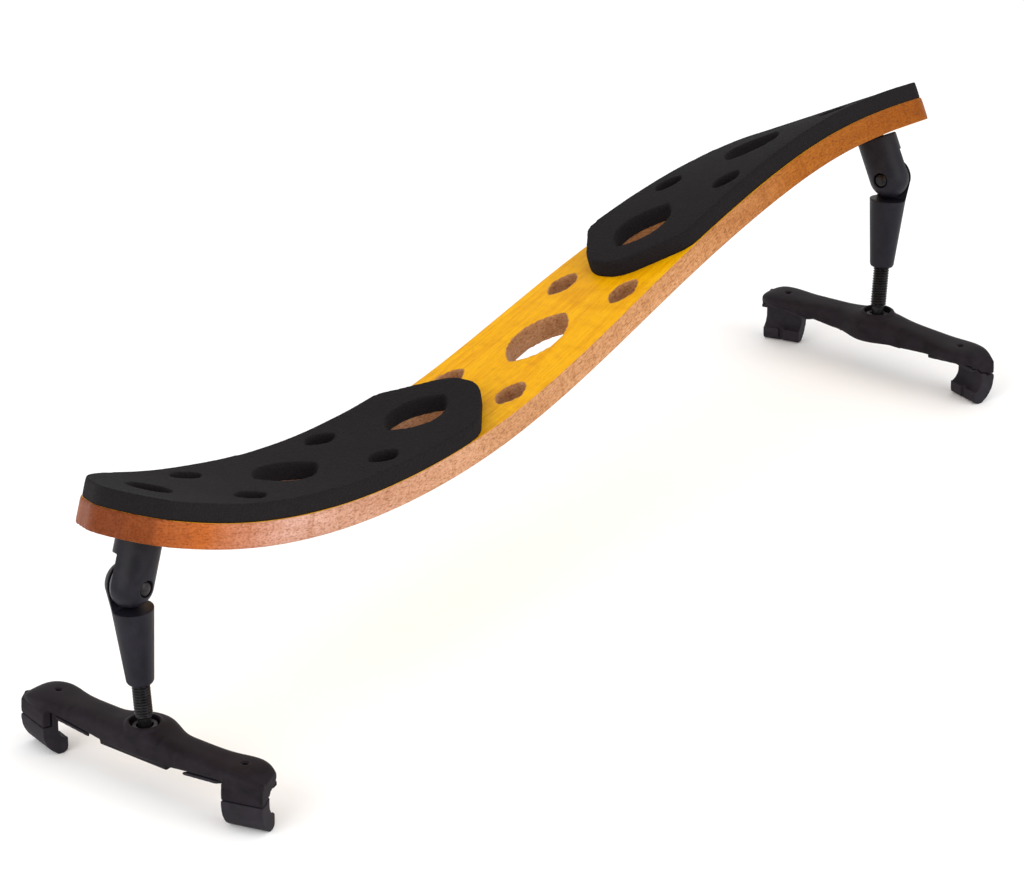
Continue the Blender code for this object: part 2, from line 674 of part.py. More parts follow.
def make_grip(side, foot, end, rubber):
    """The rubber hook, with the tongue that lies under the bar."""
    name = side + ("_back_grip" if (end > 0) == (side == "right") else "_front_grip")
    turn = hook_matrix(end)
    mesh = moved(prism(grip_outline(), -HOOK_HALF_WIDTH, HOOK_HALF_WIDTH), turn)
    item = new_object(name, mesh, rubber, foot)
    tongue = plate([[Vector((x, end * y)) for x, y in TONGUE_OUTLINE]], -TONGUE_THICKNESS, 0.0)
    for vertex in tongue.verts:
        vertex.co.z += underside(vertex.co.y) - CLEARANCE
    cut(item, mesh_from(tongue), "UNION")
    groove = box((-4.5, -GROOVE_HALF_WIDTH, -13.0), (HOOK_LIP + GROOVE_DEPTH, GROOVE_HALF_WIDTH,
                                                      NOTCH_CENTRE[1]))
    cut(item, moved(groove, turn))
    cut(item, end_wall(end, room=CLEARANCE))
    smooth(item)


def make_leg(side, materials):
    pivot, knee, normal, hinge, down, sole = leg_axes(side)
    # The hinge axis is -Y at the knee, so the ear and the washer are on its +Y side.
    pivot_empty = axes_empty(side + ".pivot", pivot, normal.cross(hinge), normal)
    post_empty = axes_empty(side + ".post_axis", knee, (-hinge).cross(normal), normal)
    sleeve_empty = axes_empty(side + ".sleeve_axis", knee, (-hinge).cross(-down), -down)
    rod_empty = axes_empty(side + ".rod_axis", sole, (-hinge).cross(-down), -down)
    yaw = Matrix.Rotation(math.radians(FOOT_YAW[side]), 3, "Z")
    outward = yaw @ Vector((SIDES[side], 0.0, 0.0))
    foot_empty = axes_empty(side + ".foot_axis", sole, outward, Vector((0.0, 0.0, 1.0)))
    make_pivot(side, pivot_empty, materials["metal"], materials["steel"])
    make_post(side, post_empty, materials["plastic"])
    make_knee_screw(side, post_empty, materials["steel"])
    make_knee_washer(side, post_empty, materials["washer"])
    make_sleeve(side, sleeve_empty, materials["plastic"])
    make_rod(side, rod_empty, materials["steel"])
    make_swivel_ring(side, rod_empty, materials["steel"])
    make_bar(side, foot_empty, materials["foot"])
    for end in (-1.0, 1.0):
        make_grip(side, foot_empty, end, materials["rubber"])


def main():
    clear_scene()
    materials = {
        "wood": make_material("wood", (0.60, 0.30, 0.06), 0.35),
        "foam": make_material("foam", (0.02, 0.02, 0.022), 0.95),
        "plastic": make_material("plastic", (0.03, 0.03, 0.033), 0.40),
        "foot": make_material("foot", (0.022, 0.021, 0.022), 0.55),
        "rubber": make_material("rubber", (0.030, 0.030, 0.032), 0.70),
        "metal": make_material("metal", (0.02, 0.02, 0.02), 0.45, 0.6),
        "steel": make_material("steel", (0.03, 0.03, 0.03), 0.35, 0.9),
        "washer": make_material("washer", (0.35, 0.35, 0.36), 0.35, 0.9),
    }
    make_board(materials["wood"])
    for side in SIDES:
        make_pad(side, materials["foam"])
        make_leg(side, materials)


main()
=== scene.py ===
import json
import math

import bmesh
import bpy
import numpy as np
from mathutils import Matrix, Vector, noise


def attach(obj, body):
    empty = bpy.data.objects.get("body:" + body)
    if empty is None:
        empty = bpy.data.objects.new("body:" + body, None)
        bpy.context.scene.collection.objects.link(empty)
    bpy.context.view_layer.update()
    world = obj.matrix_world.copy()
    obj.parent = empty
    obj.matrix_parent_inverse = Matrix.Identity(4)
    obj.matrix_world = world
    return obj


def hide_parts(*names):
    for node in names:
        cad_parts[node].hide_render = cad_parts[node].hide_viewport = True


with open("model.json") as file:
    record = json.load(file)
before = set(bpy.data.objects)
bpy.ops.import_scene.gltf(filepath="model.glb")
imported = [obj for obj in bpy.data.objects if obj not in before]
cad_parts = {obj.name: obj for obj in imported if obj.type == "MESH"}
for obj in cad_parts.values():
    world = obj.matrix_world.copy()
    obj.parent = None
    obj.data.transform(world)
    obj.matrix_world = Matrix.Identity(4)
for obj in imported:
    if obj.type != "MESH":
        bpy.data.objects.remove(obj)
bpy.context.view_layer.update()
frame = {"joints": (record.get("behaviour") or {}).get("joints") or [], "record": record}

# Looks of a violin shoulder rest: a bent wooden bar with two foam pads, on two jointed legs.
# Meshes are made in millimetres, in the axes of the bar, a leg's joint or a foot; place() turns
# them into metres in the frame's axes.
MM = 0.001
MARGIN = 1.0                     # how far a cutter reaches past what it cuts
SIDES = {"left": -1.0, "right": 1.0}

# --- wooden bar: the blank is cut flat (along, across, above the top face) and then bent --------
BOARD_WIDTH = 22.8
BOARD_THICKNESS = 4.2
BOARD_MIDDLE = (0.8, 3.8)
STATIONS = (-121.4, -98.4, -73.4, -48.4, -23.4, 1.6, 26.6, 51.6, 76.6, 96.6, 114.6)
HEIGHTS = (54.35, 44.8, 37.8, 34.8, 35.7, 40.1, 45.6, 49.6, 50.9, 49.4, 47.2)
TWISTS = (-3.1, -0.9, -0.8, -2.3, -3.4, -6.0, -11.1, -17.4, -24.0, -27.4, -27.7)
LONG_CORNER = 126.2              # of each end, along the bar from its middle
SHORT_CORNER = 109.0
BOARD_CORNER_RADII = (7.5, 17.0, 7.5, 5.0)       # clockwise from the left end's front corner
BEND_STEP = 2.0
BOARD_VOXEL = 0.42
BIG_HOLES = (-70.4, -34.4, 0.0, 33.4, 68.6)
BIG_HOLE = (16.0, 8.2)
SMALL_HOLES = (-87.9, -52.5, -16.9, 16.6, 50.7, 86.0)
SMALL_HOLE = (7.6, 3.8)
SMALL_HOLE_OFFSET = 6.6
LEG_STATION = {"left": -104.85, "right": 106.8}
LEG_HOLE_RADIUS = 4.0

# --- foam pads ----------------------------------------------------------------------------------
PAD_THICKNESS = 3.0
PAD_GAP = 0.15
PAD_INSET = 0.2
PAD_NOSE = 15.6
PAD_SHOULDER = 31.5
PAD_HOLES_START = 0.9 * PAD_SHOULDER             # a pad has the lens holes beyond here
PAD_RADII = (7.3, 8.0, 6.0, 8.0)                 # long corner, shoulder, nose, shoulder
PAD_SHORT_CORNER_RADIUS = {"left": 16.8, "right": 4.8}
PAD_SINK = 0.1                   # how far the glued faces sink into each other
PAD_END_HOLE_RADIUS = 3.6
PAD_VOXEL = 0.35
PAD_WAVE = 0.09                  # slow unevenness of the foam's faces
PAD_WAVE_RATE = 0.11             # waves in a millimetre
PAD_GRAIN = 0.025
PAD_GRAIN_RATE = 1.7
PAD_DRIFT_RATE = 0.2             # sideways unevenness of the foam's lower edge
PAD_DRIFT_OFFSET = (9.0, 0.0, 0.0)

# --- legs ---------------------------------------------------------------------------------------
KNEE_DROP = 8.2
CLEARANCE = 0.3
POST_RADIUS = 3.75
POST_STEP = 4.5
LAP_FACE = 0.8
WASHER_THICKNESS = 0.3
WASHER_GAP = 0.15
WASHER_RADIUS = 3.5
EAR_FACE = LAP_FACE + WASHER_THICKNESS + 2 * WASHER_GAP
BALL_RADIUS = 4.0
LEDGE_DROP = 4.1
SLEEVE_DROP = 17.2
SLEEVE_FOOT_RADIUS = 2.25
SLEEVE_TAPER = 0.09
BORE_RADIUS = 1.75
BORE_TOP_DROP = 5.3
BORE_PLAY = 0.2
KNEE_HEAD_RADIUS = 1.2
KNEE_SHANK_RADIUS = 0.9
KNEE_HEAD_OUT = 3.55
KNEE_HEAD_THICKNESS = 0.9
KNEE_HEAD_DOME = (               # radius, drop from the crown
    (0.0, 0.0),
    (0.4, 0.01),
    (0.8, 0.08),
    (1.05, 0.18),
    (KNEE_HEAD_RADIUS, 0.34),
)
KNEE_SCREW_END = 3.0
SHANK_BORE_END = 3.5
OUTSIDE_LEG = 7.0                # well outside a post and a sleeve, for cutters
LEG_VOXEL = 0.13

# --- rods, rings and pivots ---------------------------------------------------------------------
THREAD_PITCH = 0.5
THREAD_RADIUS = 1.5
THREAD_DEPTH = 0.28
THREAD_TOP = 16.3
THREAD_PARTS = 48                # faces round the rod
THREAD_RINGS = 8                 # rings in one pitch
THREAD_CREST = 0.8               # under 1 makes the crests broader than the roots
ROD_NECK = (1.1, 0.9)            # radius, top
ROD_BASE = (1.7, -1.7, -2.8)     # radius, top, bottom
RING = (2.1, 1.4, -0.4, -1.3)    # outer radius, inner radius, top, bottom
BUSH_RADII = (3.7, 1.7)
PIVOT_SHANK_RADIUS = 1.4
PIVOT_HEAD_RADIUS = 2.6
PIVOT_HEAD_THICKNESS = 1.4
PIVOT_SEAT_GAP = 0.2
PIVOT_DEPTH = 4.0
HEX_SOCKET = (1.25, 0.8)         # radius over the corners, depth

# --- feet ---------------------------------------------------------------------------------------
FOOT_HEIGHT = 11.5
SOCKET = (2.5, 3.4)              # radius, depth
SOCKET_RIM = 0.7                 # width of the raised rim around it
END_HOLE = (0.55, 2.2)
END_HOLE_AT = (-1.3, 20.1)
BAR_UNDERSIDE = -4.55
ARM_UNDERSIDE = -3.5
ARM_START = 8.0
ARM_END = 18.0
LAND_LOW = (-2.4, -7.2, -5.05)
LAND_HIGH = (3.0, 7.2, -2.2)
TONGUE_OUTLINE = ((-3.3, 14.3), (2.5, 10.0), (2.5, 17.2), (1.4, 18.4), (1.4, 19.6), (-3.3, 19.6))
TONGUE_THICKNESS = 0.4
SEAM_HEIGHT = -6.0
SEAM_GAP = 0.18                  # between a grip and the bar, as it shows
HOOK_AT = (0.4, 22.0)
HOOK_TURN = 16.0
HOOK_HALF_WIDTH = 3.6
HOOK_OUTER = 2.2
HOOK_LIP = -2.3
SKIRT_INNER = 0.75
END_WALL_THICKNESS = 0.9
END_WALL_INNER = (-0.7, -5.3)
NOTCH_RADIUS = 2.3
NOTCH_CENTRE = (-2.9, -6.9)
NOTCH_WALL_TOP = -6.1            # the notch has a flat back wall up to here
NOTCH_ROOF_RADIUS = 1.6
ROOF_INNER = -3.3
GROOVE_HALF_WIDTH = 0.45
GROOVE_DEPTH = 0.5
FOOT_VOXEL = 0.18
GRIP_VOXEL = 0.14
GRIP_WALL = (                    # height, distance from the straight wall of the grip
    (-FOOT_HEIGHT, -2.7),
    (-10.7, -1.6),
    (-9.7, -0.8),
    (-8.6, -0.25),
    (-7.4, 0.0),
)
GRIP_WALL_PARTS = 16
BAR_SECTIONS = 130
BAR_STATIONS = (                 # distance from the middle, inner edge, outer edge, top
    (0.0, -5.6, 3.6, 0.0),
    (2.5, -5.1, 3.5, -0.1),
    (4.2, -4.4, 3.3, -0.35),
    (6.2, -3.7, 3.1, -0.65),
    (9.0, -3.6, 2.9, -0.85),
    (13.5, -3.8, 2.7, -1.05),
    (17.0, -4.4, 2.7, -1.2),
    (20.0, -5.0, 2.7, -1.15),
    (22.4, -4.7, 2.5, -1.25),
    (24.2, -3.9, 2.0, -1.75),
    (25.4, -3.1, 1.4, -2.5),
    (26.3, -2.2, 0.8, -3.1),
)
TOP_SQUARENESS = 2.8
UNDER_SQUARENESS = 8.0


# === curves and outlines ========================================================================
def natural_spline(knots, values):
    """A function for the natural cubic spline through the knots."""
    x, y = np.array(knots, float), np.array(values, float)
    h = np.diff(x)
    system, right = np.eye(len(x)), np.zeros(len(x))
    for i in range(1, len(x) - 1):
        system[i, i - 1:i + 2] = h[i - 1], 2 * (h[i - 1] + h[i]), h[i]
        right[i] = 6 * ((y[i + 1] - y[i]) / h[i] - (y[i] - y[i - 1]) / h[i - 1])
    bend = np.linalg.solve(system, right)

    def evaluate(at):
        at = np.asarray(at, float)
        i = np.clip(np.searchsorted(x, at) - 1, 0, len(x) - 2)
        a, b = (x[i + 1] - at) / h[i], (at - x[i]) / h[i]
        curve = ((a ** 3 - a) * bend[i] + (b ** 3 - b) * bend[i + 1]) * h[i] ** 2 / 6
        return a * y[i] + b * y[i + 1] + curve

    return evaluate


board_height = natural_spline(STATIONS, HEIGHTS)
board_twist = natural_spline(STATIONS, TWISTS)


def unit(vectors):
    return vectors / np.linalg.norm(vectors, axis=1, keepdims=True)


def bent(points):
    """Move points of the flat blank onto the bent and twisted bar."""
    x, y, z = points.T
    one, none = np.ones_like(x), np.zeros_like(x)
    along = unit(np.stack((one, none, board_height(x + 0.5) - board_height(x - 0.5)), 1))
    twist = np.radians(board_twist(x))
    across = np.stack((none, np.cos(twist), np.sin(twist)), 1)
    across = unit(across - (across * along).sum(1, keepdims=True) * along)
    normal = np.cross(along, across)
    centre = np.stack((x + BOARD_MIDDLE[0], one * BOARD_MIDDLE[1], board_height(x)), 1)
    return centre + y[:, None] * across + z[:, None] * normal


def rounded(corners, radii, step=math.radians(6)):
    """A closed outline whose corners are arcs; its corners may run either way round."""
    outline = []
    for i, (corner, radius) in enumerate(zip(corners, radii)):
        here = Vector(corner)
        before = (Vector(corners[i - 1]) - here).normalized()
        after = (Vector(corners[(i + 1) % len(corners)]) - here).normalized()
        opening = before.angle(after)
        centre = here + (before + after).normalized() * radius / math.sin(opening / 2)
        start = here + before * radius / math.tan(opening / 2) - centre
        turn = math.pi - opening
        turn = -math.copysign(turn, before.x * after.y - before.y * after.x)
        parts = max(3, math.ceil(abs(turn) / step))
        for k in range(parts + 1):
            c, s = math.cos(turn * k / parts), math.sin(turn * k / parts)
            outline.append(centre + Vector((start.x * c - start.y * s, start.x * s + start.y * c)))
    return outline


def lens(x, y, size, parts=20):
    """A pointed lens of two arcs; size is its length and width."""
    half, rise = size[0] / 2, size[1] / 2
    radius = (half ** 2 + rise ** 2) / (2 * rise)
    reach = math.asin(half / radius)
    outline = []
    for side in (-1.0, 1.0):
        for k in range(parts):
            angle = side * (2 * k / parts - 1) * -reach
            outline.append(Vector((x + radius * math.sin(angle),
                                   y + side * (radius * math.cos(angle) - radius + rise))))
    return outline


def circle(x, y, radius, parts=64):
    turns = [2 * math.pi * k / parts for k in range(parts)]
    return [Vector((x + radius * math.cos(a), y + radius * math.sin(a))) for a in turns]


def arc(centre, radius, start, stop, parts):
    """Points of an arc between two angles in degrees."""
    angles = [math.radians(start + (stop - start) * k / parts) for k in range(parts + 1)]
    return [Vector((centre[0] + radius * math.cos(a), centre[1] + radius * math.sin(a)))
            for a in angles]


# === meshes =====================================================================================
def added(name, data):
    """A new object in the scene."""
    item = bpy.data.objects.new(name, data)
    bpy.context.scene.collection.objects.link(item)
    return item


def mesh_from(bm):
    bmesh.ops.recalc_face_normals(bm, faces=bm.faces)
    mesh = bpy.data.meshes.new("mesh")
    bm.to_mesh(mesh)
    bm.free()
    return mesh


def lofted(rings, closed=False):
    """Join rings of points into a skin, with both ends filled; a ring of one point is a tip."""
    bm = bmesh.new()
    made = [[bm.verts.new(p) for p in ring] for ring in rings]
    for upper, lower in zip(made, made[1:] + (made[:1] if closed else [])):
        count = max(len(upper), len(lower))
        for k in range(count):
            corners = [upper[k % len(upper)], upper[(k + 1) % len(upper)],
                       lower[(k + 1) % len(lower)], lower[k % len(lower)]]
            bm.faces.new(list(dict.fromkeys(corners)))
    for end in () if closed else (made[0], made[-1]):
        if len(end) > 1:
            bm.faces.new(end)
    return mesh_from(bm)


def turned(profile, parts=96, closed=False):
    """A solid of revolution about Z; the profile is (radius, height)."""
    return lofted([[(p.x, p.y, height) for p in circle(0, 0, radius, parts)] if radius
                   else [(0.0, 0.0, height)] for radius, height in profile], closed)


def tube(outer, inner, top, bottom, edge=0.08):
    """A ring with small chamfers, as a closed profile turned about Z."""
    profile = []
    for radius, height, out, up in ((outer, top, -1, 0), (outer, top, 0, -1),
                                    (outer, bottom, 0, 1), (outer, bottom, -1, 0),
                                    (inner, bottom, 1, 0), (inner, bottom, 0, 1),
                                    (inner, top, 0, -1), (inner, top, 1, 0)):
        profile.append((radius + out * edge, height + up * edge))
    return turned(profile, 64, closed=True)


def prism(outline, low, high):
    """An outline in X and Y, pushed along Z."""
    return lofted([[(p.x, p.y, z) for p in outline] for z in (low, high)])


def box(low, high):
    corners = [Vector((x, y)) for x, y in ((low[0], low[1]), (high[0], low[1]),
                                           (high[0], high[1]), (low[0], high[1]))]
    return prism(corners, low[2], high[2])


def rod(radius, low, high, parts=48):
    return prism(circle(0, 0, radius, parts), low, high)


def moved(mesh, matrix):
    mesh.transform(matrix)
    return mesh


def tipped(mesh):
    """Turn a mesh about X, so that what pointed up points along -Y, and +Y points up."""
    return moved(mesh, Matrix.Rotation(math.radians(90), 4, "X"))


def worked(mesh, *steps):
    """The mesh after some modifiers, each given as its type and settings."""
    item = added("work", mesh)
    for kind, settings in steps:
        modifier = item.modifiers.new(kind, kind)
        for key, value in settings.items():
            setattr(modifier, key, value)
    graph = bpy.context.evaluated_depsgraph_get()
    result = bpy.data.meshes.new_from_object(item.evaluated_get(graph))
    bpy.data.objects.remove(item, do_unlink=True)
    return result


def carved(mesh, *cuts):
    """The mesh after exact booleans, each given as an operation and a mesh."""
    steps, cutters = [], []
    for operation, shape in cuts:
        cutters.append(added("cutter", shape))
        steps.append(("BOOLEAN", {"operation": operation, "solver": "EXACT",
                                  "object": cutters[-1]}))
    result = worked(mesh, *steps)
    for cutter in cutters:
        bpy.data.objects.remove(cutter, do_unlink=True)
    return result


def softened(mesh, voxel, passes=3):
    """Give a solid an even skin of small faces and round its edges a little."""
    return worked(mesh, ("REMESH", {"mode": "VOXEL", "voxel_size": voxel}),
                  ("SMOOTH", {"factor": 0.5, "iterations": passes}))


def coordinates(mesh):
    values = np.empty(len(mesh.vertices) * 3, np.float32)
    mesh.vertices.foreach_get("co", values)
    return values.reshape(-1, 3).astype(float)


def set_coordinates(mesh, points):
    mesh.vertices.foreach_set("co", points.astype(np.float32).ravel())
    mesh.update()


def keep_flat_places(mesh):
    """Store each vertex's place in the flat blank, in millimetres, for the materials."""
    flat = mesh.attributes.new("flat", "FLOAT_VECTOR", "POINT")
    flat.data.foreach_set("vector", coordinates(mesh).astype(np.float32).ravel())


def place(node, mesh, body, slot, matrix=None, sharp=35.0):
    """Put a finished mesh in the frame, in the stead of a CAD node."""
    mesh.transform(Matrix.Scale(MM, 4) @ (matrix or Matrix.Identity(4)))
    piece = added(node + ".detail", mesh)
    mesh.materials.clear()
    mesh.materials.append(MATERIALS[slot])
    mesh.shade_smooth()
    mesh.set_sharp_from_angle(angle=math.radians(sharp))
    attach(piece, body)
    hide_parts(node)
    return piece


# === materials ==================================================================================
def make(tree, kind, settings=None, **inputs):
    """Add a shader node; an input is a value or another node's output socket."""
    node = tree.nodes.new("ShaderNode" + kind)
    for key, value in (settings or {}).items():
        setattr(node, key, value)
    for key, value in inputs.items():
        connect(tree, node.inputs[key.replace("_", " ")], value)
    return node


def connect(tree, socket, value):
    if isinstance(value, bpy.types.NodeSocket):
        tree.links.new(value, socket)
    else:
        socket.default_value = value


def grain(tree, where, scale, detail=3.0, rough=0.55, distortion=0.0):
    """Noise from 0 to 1."""
    node = make(tree, "TexNoise", Vector=where, Scale=scale, Detail=detail, Roughness=rough,
                Distortion=distortion)
    return node.outputs["Fac"]


def stretched(tree, where, scale):
    return make(tree, "Mapping", Vector=where, Scale=scale).outputs["Vector"]


def ramp(tree, value, *stops):
    """A colour ramp; each stop is a position and a colour or a grey."""
    node = make(tree, "ValToRGB", Fac=value)
    marks = node.color_ramp.elements
    while len(marks) < len(stops):
        marks.new(0.5)
    for mark, (position, colour) in zip(marks, stops):
        mark.position = position
        mark.color = (*colour, 1.0) if isinstance(colour, tuple) else (colour,) * 3 + (1.0,)
    return node.outputs["Color"]


def mixed(tree, amount, first, second, blend="MIX"):
    node = tree.nodes.new("ShaderNodeMix")
    node.data_type, node.blend_type = "RGBA", blend
    for index, value in ((0, amount), (6, first), (7, second)):
        connect(tree, node.inputs[index], value)
    return node.outputs[2]


def tinted(tree, amount, colour, tint):
    return mixed(tree, amount, colour, (*tint, 1.0), "MULTIPLY")


def calculated(tree, operation, first, second=0.0):
    node = make(tree, "Math", {"operation": operation})
    connect(tree, node.inputs[0], first)
    connect(tree, node.inputs[1], second)
    return node.outputs[0]


def between(tree, value, low, high, to_low=0.0, to_high=1.0):
    """A value from low to high, mapped onto to_low to to_high and clamped there."""
    node = make(tree, "MapRange", Value=value, From_Min=low, From_Max=high, To_Min=to_low,
                To_Max=to_high)
    return node.outputs["Result"]


def bumped(tree, height, distance, strength=1.0, over=None):
    """A bump whose distance is in metres."""
    node = make(tree, "Bump", Height=height, Distance=distance, Strength=strength)
    if over:
        tree.links.new(over, node.inputs["Normal"])
    return node.outputs["Normal"]


def new_material(name, **inputs):
    """A material and its tree, shader and places in millimetres."""
    material = bpy.data.materials.new(name)
    material.use_nodes = True
    tree = material.node_tree
    shader = tree.nodes["Principled BSDF"]
    for key, value in inputs.items():
        shader.inputs[key.replace("_", " ")].default_value = value
    where = make(tree, "TexCoord").outputs["Object"]
    return material, tree, shader, stretched(tree, where, (1 / MM,) * 3)


def srgb(red, green, blue):
    """A colour given as it looks on a screen, from 0 to 255, in linear light."""
    return tuple(c / 12.92 if c <= 0.04045 else ((c + 0.055) / 1.055) ** 2.4
                 for c in (red / 255, green / 255, blue / 255))


def wood_face(tree, flat, wander, fibres):
    """The golden upper and lower faces, with a faint cross figure."""
    figure = grain(tree, stretched(tree, flat, (0.13, 0.045, 0.05)), 1.0, 4.0, 0.6, 1.6)
    colour = ramp(tree, wander, (0.25, srgb(218, 148, 2)), (0.5, srgb(231, 168, 4)),
                  (0.78, srgb(236, 178, 10)))
    colour = tinted(tree, between(tree, figure, 0.46, 0.82, 0.0, 0.6), colour,
                    (0.72, 0.6, 0.5))
    return tinted(tree, between(tree, fibres, 0.4, 0.7, 0.0, 0.8), colour, (0.78, 0.68, 0.4))


def wood_edge(tree, flat, parts, wander):
    """The brown cut edge, whose tone along the bar is partly the wood's own and partly painted
    light and shade, and painted shade on the walls of the holes.
    """
    speckle = grain(tree, stretched(tree, flat, (1.6, 3.0, 3.0)), 1.0, 3.0, 0.6)
    streaks = grain(tree, stretched(tree, flat, (0.55, 0.3, 0.05)), 1.0, 3.0, 0.6, 0.8)
    # the ramp along the bar is partly the wood's own tone and partly painted light and shade,
    # darker at the ends
    tone_and_painted_light_along = between(tree, parts["X"], -LONG_CORNER, LONG_CORNER)
    colour = ramp(tree, tone_and_painted_light_along, (0.0, srgb(104, 52, 40)), (0.09, srgb(190, 104, 44)),
                  (0.17, srgb(208, 162, 146)), (0.4, srgb(200, 150, 110)),
                  (0.6, srgb(200, 148, 104)), (0.75, srgb(164, 98, 34)),
                  (0.9, srgb(150, 82, 12)), (1.0, srgb(146, 82, 14)))
    for pattern, low, high, amount, tint in ((wander, 0.35, 0.7, 0.6, (0.72, 0.6, 0.45)),
                                             (speckle, 0.42, 0.68, 0.8, (0.62, 0.5, 0.36)),
                                             (streaks, 0.5, 0.75, 0.6, (0.7, 0.56, 0.4))):
        colour = tinted(tree, between(tree, pattern, low, high, 0.0, amount), colour, tint)
    # painted shade: the walls of the holes, away from the outer edges, are darkened
    from_middle = calculated(tree, "ABSOLUTE", parts["Y"])
    half = BOARD_WIDTH / 2
    painted_hole_shade = between(tree, from_middle, half - 1.0, half - 0.6, 0.8, 0.0)
    return tinted(tree, painted_hole_shade, colour, (0.6, 0.58, 0.58))


def wood_material():
    """Varnished wood: golden faces, brown edges and holes, and short dark pores."""
    material, tree, shader, _ = new_material("wood_varnished", Coat_Weight=0.02,
                                             Coat_Roughness=0.3, Specular_IOR_Level=0.04)
    flat = make(tree, "Attribute", {"attribute_name": "flat"}).outputs["Vector"]
    parts = make(tree, "SeparateXYZ", Vector=flat).outputs
    fibres = grain(tree, stretched(tree, flat, (0.14, 3.4, 3.4)), 1.0, 5.0, 0.65)
    wander = grain(tree, stretched(tree, flat, (0.035, 0.4, 0.4)), 1.0, 3.0, 0.5, 1.2)
    pores = grain(tree, stretched(tree, flat, (0.75, 4.2, 4.2)), 1.0, 2.0, 0.5)

    half = BOARD_THICKNESS / 2
    # wall is 1 on the cut edges and in the holes, and 0 on the two faces
    away = calculated(tree, "ABSOLUTE", calculated(tree, "ADD", parts["Z"], half))
    wall = between(tree, away, half - 0.04, half - 0.005, 1.0, 0.0)
    colour = mixed(tree, wall, wood_face(tree, flat, wander, fibres),
                   wood_edge(tree, flat, parts, wander))
    dark = between(tree, pores, 0.56, 0.68)
    share = calculated(tree, "MULTIPLY", dark, between(tree, wall, 0.0, 1.0, 0.18, 0.5))
    colour = mixed(tree, share, colour, (*srgb(96, 50, 24), 1))
    connect(tree, shader.inputs["Base Color"], colour)
    connect(tree, shader.inputs["Roughness"], between(tree, fibres, 0.3, 0.7, 0.34, 0.5))
    normal = bumped(tree, fibres, 0.00006, 0.5)
    connect(tree, shader.inputs["Normal"], bumped(tree, dark, -0.00006, 0.5, normal))
    return material


def foam_material():
    """Fine-celled black foam rubber."""
    material, tree, shader, where = new_material("foam_cells", Specular_IOR_Level=0.1)
    cells = make(tree, "TexVoronoi", Vector=where, Scale=2.6).outputs["Distance"]
    fine = grain(tree, where, 6.0, 3.0, 0.7)
    cloud = grain(tree, where, 0.12, 3.0, 0.5)
    colour = ramp(tree, fine, (0.3, srgb(16, 14, 15)), (0.5, srgb(26, 23, 25)),
                  (0.75, srgb(43, 38, 40)))
    colour = mixed(tree, between(tree, cloud, 0.3, 0.7, 0.0, 0.35), colour,
                   (*srgb(22, 20, 21), 1))
    colour = mixed(tree, between(tree, cells, 0.1, 0.35, 0.55, 0.0), colour,
                   (*srgb(10, 9, 10), 1))
    connect(tree, shader.inputs["Base Color"], colour)
    connect(tree, shader.inputs["Roughness"], between(tree, fine, 0.3, 0.7, 0.86, 0.98))
    normal = bumped(tree, cells, 0.00016, 0.8)
    connect(tree, shader.inputs["Normal"], bumped(tree, fine, 0.00008, 0.6, normal))
    return material


def moulded_material(name, dark, light, roughness, texture, **inputs):
    """Moulded plastic or rubber: a fine surface grain, faint flow marks and rubbed patches."""
    material, tree, shader, where = new_material(name, **inputs)
    fine = grain(tree, where, texture, 3.0, 0.6)
    flow = grain(tree, where, 0.35, 4.0, 0.55, 0.6)
    colour = ramp(tree, flow, (0.3, dark), (0.7, light))
    colour = mixed(tree, between(tree, fine, 0.5, 0.8, 0.0, 0.3), colour, (*light, 1.0))
    connect(tree, shader.inputs["Base Color"], colour)
    rough = between(tree, flow, 0.3, 0.7, roughness - 0.06, roughness + 0.07)
    connect(tree, shader.inputs["Roughness"], rough)
    connect(tree, shader.inputs["Normal"], bumped(tree, fine, 0.00002, 0.5))
    return material


def metal_material(name, dark, light, roughness, metallic, stretch=(1.0, 1.0, 8.0)):
    """Machined metal: fine tool marks, and patches where its finish is thinner."""
    material, tree, shader, where = new_material(name, Metallic=metallic)
    marks = grain(tree, stretched(tree, where, stretch), 2.2, 3.0, 0.6)
    worn = grain(tree, where, 0.9, 3.0, 0.6)
    colour = ramp(tree, worn, (0.35, dark), (0.7, light))
    connect(tree, shader.inputs["Base Color"], colour)
    rough = between(tree, marks, 0.3, 0.7, roughness - 0.07, roughness + 0.1)
    connect(tree, shader.inputs["Roughness"], rough)
    connect(tree, shader.inputs["Normal"], bumped(tree, marks, 0.00001, 0.5))
    return material


MATERIALS = {
    "wood": wood_material(),
    "foam": foam_material(),
    "plastic": moulded_material("plastic_satin", srgb(17, 16, 22), srgb(30, 28, 36), 0.45, 7.0,
                                Specular_IOR_Level=0.14),
    "foot": moulded_material("plastic_foot", srgb(21, 18, 21), srgb(35, 30, 35), 0.55, 5.0,
                             Specular_IOR_Level=0.06),
    "rubber": moulded_material("rubber_grip", srgb(27, 24, 28), srgb(41, 37, 43), 0.66, 4.0,
                               Specular_IOR_Level=0.12),
    "metal": metal_material("metal_black", (0.01,) * 3, (0.02,) * 3, 0.45, 0.4),
    "steel": metal_material("steel_black_oxide", (0.012, 0.011, 0.012), (0.03, 0.028, 0.03),
                            0.36, 0.8),
    "washer": metal_material("steel_plain", (0.1, 0.1, 0.105), (0.2, 0.2, 0.21), 0.45, 1.0,
                             (6.0, 6.0, 1.0)),
}


# === bar and pads ===============================================================================
def end_corners(sign):
    """The long and short corner of one end; they change sides from end to end."""
    half = BOARD_WIDTH / 2
    return [(sign * LONG_CORNER, sign * half), (sign * SHORT_CORNER, -sign * half)]


def lens_outlines(first, last):
    """The lens holes whose centres lie between two places along the bar."""
    outlines = [lens(x, 0.0, BIG_HOLE) for x in BIG_HOLES if first < x < last]
    for x in SMALL_HOLES:
        for side in (-1.0, 1.0):
            if first < x < last:
                outlines.append(lens(x, side * SMALL_HOLE_OFFSET, SMALL_HOLE, 12))
    return outlines


